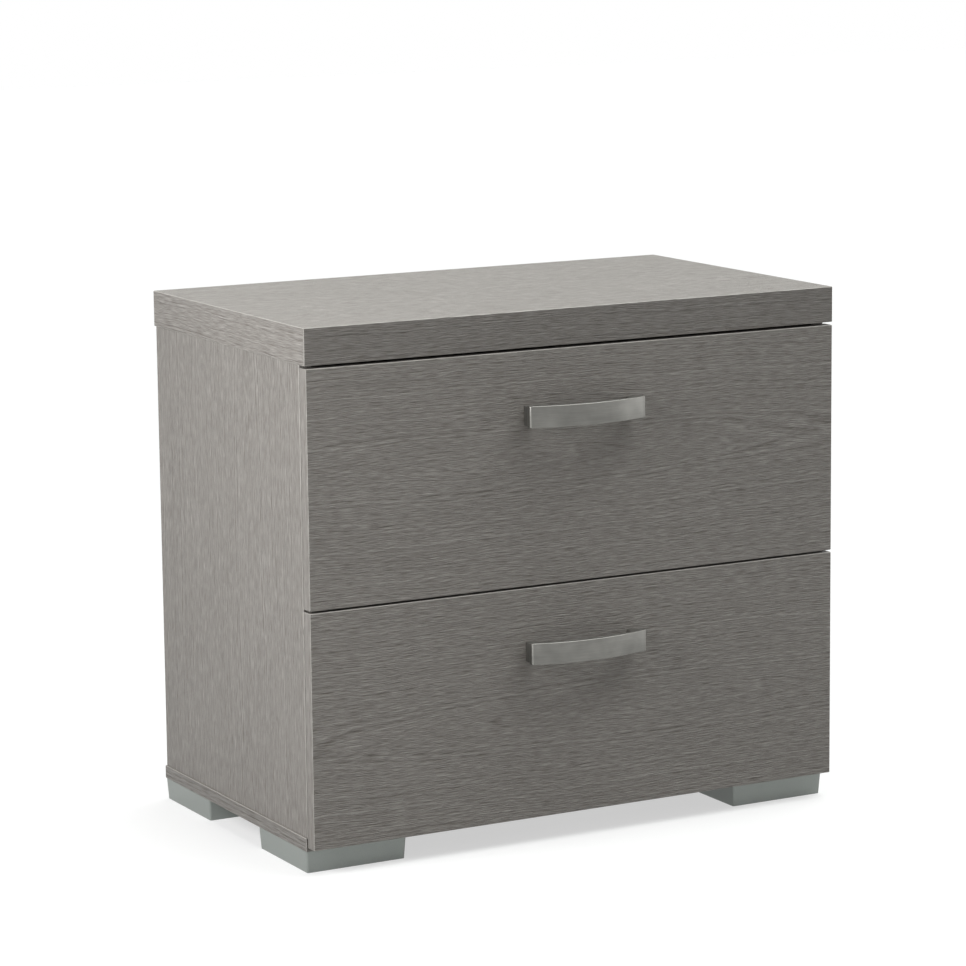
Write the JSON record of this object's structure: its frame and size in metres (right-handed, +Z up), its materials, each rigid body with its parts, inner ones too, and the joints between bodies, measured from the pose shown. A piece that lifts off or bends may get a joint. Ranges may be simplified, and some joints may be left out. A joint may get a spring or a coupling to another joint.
{
  "type": "nightstand",
  "caption": "Low nightstand with a thick flat top, bowed bar handles and square block feet; its drawers run out on telescopic ball-bearing slides.",
  "frame": {"origin": "on the floor, at the middle of the closed nightstand's bounding box, handles included", "axes": "+Z up; the drawers open towards -Y; +X to the right seen from the front"},
  "size_m": [0.66, 0.4212, 0.59],
  "materials": {
    "grey_oak_laminate": "matt brushed-oak laminate",
    "drawer_box_melamine": "matt melamine",
    "hardboard": "painted hardboard",
    "silver_foot": "satin silver lacquer",
    "satin_nickel": "satin nickel plate",
    "zinc_steel": "bright zinc plate",
    "ball_steel": "polished and oiled",
    "black_acetal": "moulded black acetal",
    "soft_bumper": "clear soft plastic"
  },
  "bodies": {
    "carcass": {"top_slab": "grey_oak_laminate", "side_panel_left": "grey_oak_laminate", "side_panel_right": "grey_oak_laminate", "bottom_panel": "grey_oak_laminate", "back_panel": "hardboard", "foot_front_left": "silver_foot", "foot_front_right": "silver_foot", "foot_rear_left": "silver_foot", "foot_rear_right": "silver_foot", "upper_slide_outer_left": "zinc_steel", "upper_slide_outer_right": "zinc_steel", "lower_slide_outer_left": "zinc_steel", "lower_slide_outer_right": "zinc_steel"},
    "upper_drawer": {"upper_drawer_front": "grey_oak_laminate", "upper_drawer_back": "drawer_box_melamine", "upper_drawer_floor": "hardboard", "upper_handle": "satin_nickel", "upper_drawer_side_left": "drawer_box_melamine", "upper_drawer_side_right": "drawer_box_melamine", "upper_handle_screw_left": "zinc_steel", "upper_handle_screw_right": "zinc_steel", "upper_bumper_left": "soft_bumper", "upper_bumper_right": "soft_bumper", "upper_slide_inner_left": "zinc_steel", "upper_slide_inner_right": "zinc_steel", "upper_slide_lever_left": "black_acetal", "upper_slide_lever_right": "black_acetal"},
    "upper_slide_middles": {"upper_slide_middle_left": "zinc_steel", "upper_slide_middle_right": "zinc_steel"},
    "upper_outer_cages": {"upper_slide_outer_cage_left": "ball_steel", "upper_slide_outer_cage_right": "ball_steel"},
    "upper_inner_cages": {"upper_slide_inner_cage_left": "ball_steel", "upper_slide_inner_cage_right": "ball_steel"},
    "lower_drawer": {"lower_drawer_front": "grey_oak_laminate", "lower_drawer_back": "drawer_box_melamine", "lower_drawer_floor": "hardboard", "lower_handle": "satin_nickel", "lower_drawer_side_left": "drawer_box_melamine", "lower_drawer_side_right": "drawer_box_melamine", "lower_handle_screw_left": "zinc_steel", "lower_handle_screw_right": "zinc_steel", "lower_bumper_left": "soft_bumper", "lower_bumper_right": "soft_bumper", "lower_slide_inner_left": "zinc_steel", "lower_slide_inner_right": "zinc_steel", "lower_slide_lever_left": "black_acetal", "lower_slide_lever_right": "black_acetal"},
    "lower_slide_middles": {"lower_slide_middle_left": "zinc_steel", "lower_slide_middle_right": "zinc_steel"},
    "lower_outer_cages": {"lower_slide_outer_cage_left": "ball_steel", "lower_slide_outer_cage_right": "ball_steel"},
    "lower_inner_cages": {"lower_slide_inner_cage_left": "ball_steel", "lower_slide_inner_cage_right": "ball_steel"}
  },
  "joints": [
    {"name": "upper_drawer_slide", "type": "slide", "parent": "carcass", "child": "upper_drawer", "axis": [0, -1, 0], "range_m": [0, 0.34]},
    {"name": "upper_slide_middles_run", "type": "slide", "parent": "carcass", "child": "upper_slide_middles", "axis": [0, -1, 0], "range_m": [0, 0.17]},
    {"name": "upper_outer_cages_run", "type": "slide", "parent": "carcass", "child": "upper_outer_cages", "axis": [0, -1, 0], "range_m": [0, 0.085]},
    {"name": "upper_inner_cages_run", "type": "slide", "parent": "carcass", "child": "upper_inner_cages", "axis": [0, -1, 0], "range_m": [0, 0.255]},
    {"name": "lower_drawer_slide", "type": "slide", "parent": "carcass", "child": "lower_drawer", "axis": [0, -1, 0], "range_m": [0, 0.34]},
    {"name": "lower_slide_middles_run", "type": "slide", "parent": "carcass", "child": "lower_slide_middles", "axis": [0, -1, 0], "range_m": [0, 0.17]},
    {"name": "lower_outer_cages_run", "type": "slide", "parent": "carcass", "child": "lower_outer_cages", "axis": [0, -1, 0], "range_m": [0, 0.085]},
    {"name": "lower_inner_cages_run", "type": "slide", "parent": "carcass", "child": "lower_inner_cages", "axis": [0, -1, 0], "range_m": [0, 0.255]}
  ],
  "couplings": [
    {"joint": "upper_slide_middles_run", "follows": "upper_drawer_slide", "ratio": 0.5},
    {"joint": "upper_outer_cages_run", "follows": "upper_drawer_slide", "ratio": 0.25},
    {"joint": "upper_inner_cages_run", "follows": "upper_drawer_slide", "ratio": 0.75},
    {"joint": "lower_slide_middles_run", "follows": "lower_drawer_slide", "ratio": 0.5},
    {"joint": "lower_outer_cages_run", "follows": "lower_drawer_slide", "ratio": 0.25},
    {"joint": "lower_inner_cages_run", "follows": "lower_drawer_slide", "ratio": 0.75}
  ]
}
